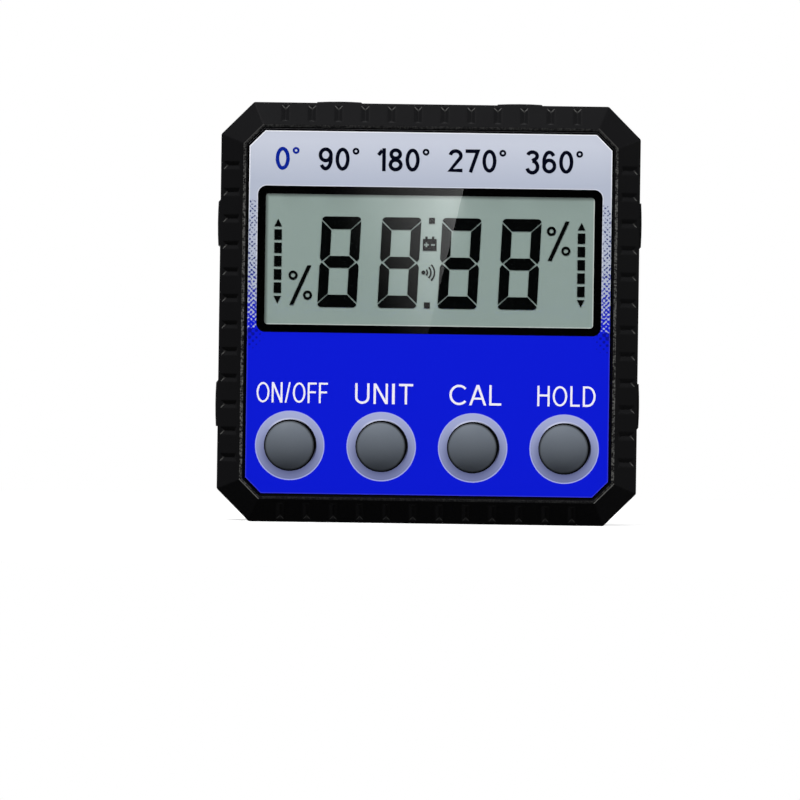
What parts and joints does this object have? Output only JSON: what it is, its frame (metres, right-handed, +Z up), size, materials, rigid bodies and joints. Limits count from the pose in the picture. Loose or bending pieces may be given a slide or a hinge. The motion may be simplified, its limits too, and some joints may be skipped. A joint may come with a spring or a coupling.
{
  "type": "digital angle gauge",
  "caption": "Square handheld digital angle gauge with a grooved bevel, display window, push buttons and magnetic base.",
  "frame": {"origin": "middle of the magnetic base, on the surface that the gauge stands on", "axes": "+X to the right of the display, +Y from the front panel to the back, +Z up"},
  "size_m": [0.054, 0.027, 0.0535],
  "materials": {
    "housing_plastic": "moulded satin black",
    "panel_print": "printed blue and silver sheet",
    "clear_lens": "clear polished acrylic",
    "black_gasket": "matt black",
    "display_glass": "grey-green reflective display",
    "display_marks": "dark display marks",
    "contact_rubber": "conductive rubber",
    "circuit_board": "green solder mask",
    "chip_epoxy": "moulded epoxy",
    "plunger_plastic": "moulded",
    "button_plastic": "moulded satin grey",
    "cell_jacket": "plain wrapped steel can",
    "contact_nickel": "nickel plated spring steel",
    "magnet_nickel": "nickel plated",
    "screw_steel": "zinc plated"
  },
  "bodies": {
    "case": {"front_case": "housing_plastic", "rear_case": "housing_plastic", "panel_overlay": "panel_print", "window_lens": "clear_lens", "lens_gasket": "black_gasket", "lcd_cell": "display_glass", "lcd_segments": "display_marks", "zebra_strip_upper": "contact_rubber", "zebra_strip_lower": "contact_rubber", "main_board": "circuit_board", "controller_chip": "chip_epoxy", "tilt_sensor": "chip_epoxy", "buzzer": "chip_epoxy", "switch_body_1": "chip_epoxy", "switch_body_2": "chip_epoxy", "switch_body_3": "chip_epoxy", "switch_body_4": "chip_epoxy", "battery_upper": "cell_jacket", "battery_lower": "cell_jacket", "positive_contact": "contact_nickel", "negative_contact": "contact_nickel", "bridge_contact": "contact_nickel", "negative_spring": "contact_nickel", "bridge_spring": "contact_nickel", "base_magnet_1": "magnet_nickel", "base_magnet_2": "magnet_nickel", "base_magnet_3": "magnet_nickel", "case_screws": "screw_steel", "board_screws": "screw_steel"},
    "button_1": {"button_cap_1": "button_plastic", "switch_plunger_1": "plunger_plastic"},
    "button_2": {"button_cap_2": "button_plastic", "switch_plunger_2": "plunger_plastic"},
    "button_3": {"button_cap_3": "button_plastic", "switch_plunger_3": "plunger_plastic"},
    "button_4": {"button_cap_4": "button_plastic", "switch_plunger_4": "plunger_plastic"},
    "door": {"battery_door": "housing_plastic"}
  },
  "joints": [
    {"name": "button_1_press", "type": "slide", "parent": "case", "child": "button_1", "axis": [0, 1, 0], "range_m": [0, 0.0005], "stiffness_N_per_m": 500, "springref_m": -0.001},
    {"name": "button_2_press", "type": "slide", "parent": "case", "child": "button_2", "axis": [0, 1, 0], "range_m": [0, 0.0005], "stiffness_N_per_m": 500, "springref_m": -0.001},
    {"name": "button_3_press", "type": "slide", "parent": "case", "child": "button_3", "axis": [0, 1, 0], "range_m": [0, 0.0005], "stiffness_N_per_m": 500, "springref_m": -0.001},
    {"name": "button_4_press", "type": "slide", "parent": "case", "child": "button_4", "axis": [0, 1, 0], "range_m": [0, 0.0005], "stiffness_N_per_m": 500, "springref_m": -0.001},
    {"name": "door_slide", "type": "slide", "parent": "case", "child": "door", "axis": [0, 0, 1], "range_m": [0, 0.026]}
  ]
}
